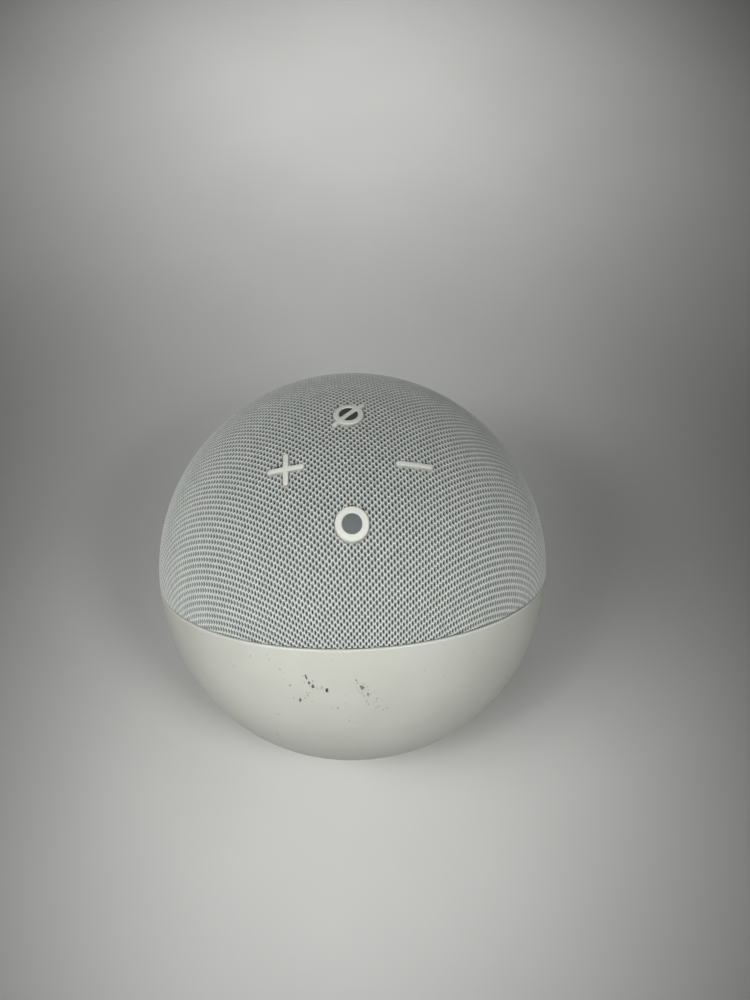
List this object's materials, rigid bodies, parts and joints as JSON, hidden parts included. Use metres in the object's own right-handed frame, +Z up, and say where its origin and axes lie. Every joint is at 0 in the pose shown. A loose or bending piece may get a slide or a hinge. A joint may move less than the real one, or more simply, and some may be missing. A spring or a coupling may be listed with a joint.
{
  "type": "smart speaker",
  "caption": "Compact ball-shaped smart speaker: knit front dome, bare rear shell, four raised press controls on top, light ring and rubber foot, sockets at the rear.",
  "frame": {"origin": "centre of the rubber foot's resting face, on the surface the speaker stands on", "axes": "+Z up; the knit dome faces -Y (front) and leans back over the top; the sockets face +Y (rear); the plus control is on +X"},
  "size_m": [0.1, 0.1, 0.089],
  "materials": {
    "knit_fabric": "knitted polyester, off-white",
    "dome_plastic": "moulded, grey",
    "housing_plastic": "fine satin, warm off-white",
    "gasket_foam": "closed-cell foam, dark",
    "button_plastic": "satin, warm off-white",
    "dot_grey": "satin mid grey",
    "window_dark": "smoked, dark",
    "light_diffuser": "frosted, translucent white",
    "base_plastic": "moulded, off-white",
    "foot_rubber": "moulded, grey",
    "board_laminate": "glass-epoxy board, green solder mask",
    "component_black": "moulded epoxy, black",
    "led_white": "clear resin over phosphor",
    "screw_steel": "zinc plated",
    "can_steel": "tinned sheet",
    "yoke_steel": "zinc plated",
    "basket_steel": "black powder coat",
    "magnet_ferrite": "sintered ferrite",
    "cone_paper": "pressed paper pulp, black",
    "spider_cloth": "resin-dipped cloth",
    "surround_rubber": "butyl, matt",
    "coil_copper": "enamelled copper wire",
    "sink_aluminium": "bare sheet",
    "thermal_gel": "soft silicone pad",
    "antenna_film": "copper on film"
  },
  "bodies": {
    "speaker": {"antennas": "antenna_film", "audio_jack": "component_black", "baffle_screws": "screw_steel", "base_plate": "base_plastic", "base_screws": "screw_steel", "dc_jack": "component_black", "driver_basket": "basket_steel", "driver_gasket": "gasket_foam", "driver_screws": "screw_steel", "driver_terminals": "component_black", "enclosure_tub": "component_black", "fabric_cover": "knit_fabric", "foot_pad": "foot_rubber", "front_baffle": "dome_plastic", "grille_dome": "dome_plastic", "heat_sink": "sink_aluminium", "housing_floor": "housing_plastic", "jack_board": "board_laminate", "led_board": "board_laminate", "leds": "led_white", "light_ring": "light_diffuser", "magnet": "magnet_ferrite", "main_board": "board_laminate", "main_board_screws": "screw_steel", "memory_chips": "component_black", "microphones": "can_steel", "port_surround": "housing_plastic", "processor_chip": "component_black", "rear_housing": "housing_plastic", "seam_gasket": "gasket_foam", "shield_can": "can_steel", "socket_tray": "housing_plastic", "spider": "spider_cloth", "surround": "surround_rubber", "tactile_switches": "component_black", "thermal_pad": "thermal_gel", "top_board": "board_laminate", "top_board_screws": "screw_steel", "top_plate": "yoke_steel", "tray_wall": "housing_plastic", "tub_screws": "screw_steel", "yoke": "yoke_steel"},
    "plus_key": {"plus_button": "button_plastic"},
    "minus_key": {"minus_button": "button_plastic"},
    "action_key": {"action_button": "button_plastic", "action_button_dot": "dot_grey"},
    "mute_key": {"mute_button": "button_plastic", "mute_button_window": "window_dark"},
    "cone_assembly": {"speaker_cone": "cone_paper", "dust_cap": "cone_paper", "voice_coil": "coil_copper"}
  },
  "joints": [
    {"name": "plus_press", "type": "slide", "parent": "speaker", "child": "plus_key", "axis": [0, 0, -1], "range_m": [0, 0.00035], "stiffness_N_per_m": 3000},
    {"name": "minus_press", "type": "slide", "parent": "speaker", "child": "minus_key", "axis": [0, 0, -1], "range_m": [0, 0.00035], "stiffness_N_per_m": 3000},
    {"name": "action_press", "type": "slide", "parent": "speaker", "child": "action_key", "axis": [0, 0, -1], "range_m": [0, 0.00035], "stiffness_N_per_m": 3000},
    {"name": "mute_press", "type": "slide", "parent": "speaker", "child": "mute_key", "axis": [0, 0, -1], "range_m": [0, 0.00035], "stiffness_N_per_m": 3000},
    {"name": "cone_travel", "type": "slide", "parent": "speaker", "child": "cone_assembly", "axis": [0, -0.6947, 0.7193], "range_m": [-0.0015, 0.0015], "stiffness_N_per_m": 1000}
  ]
}
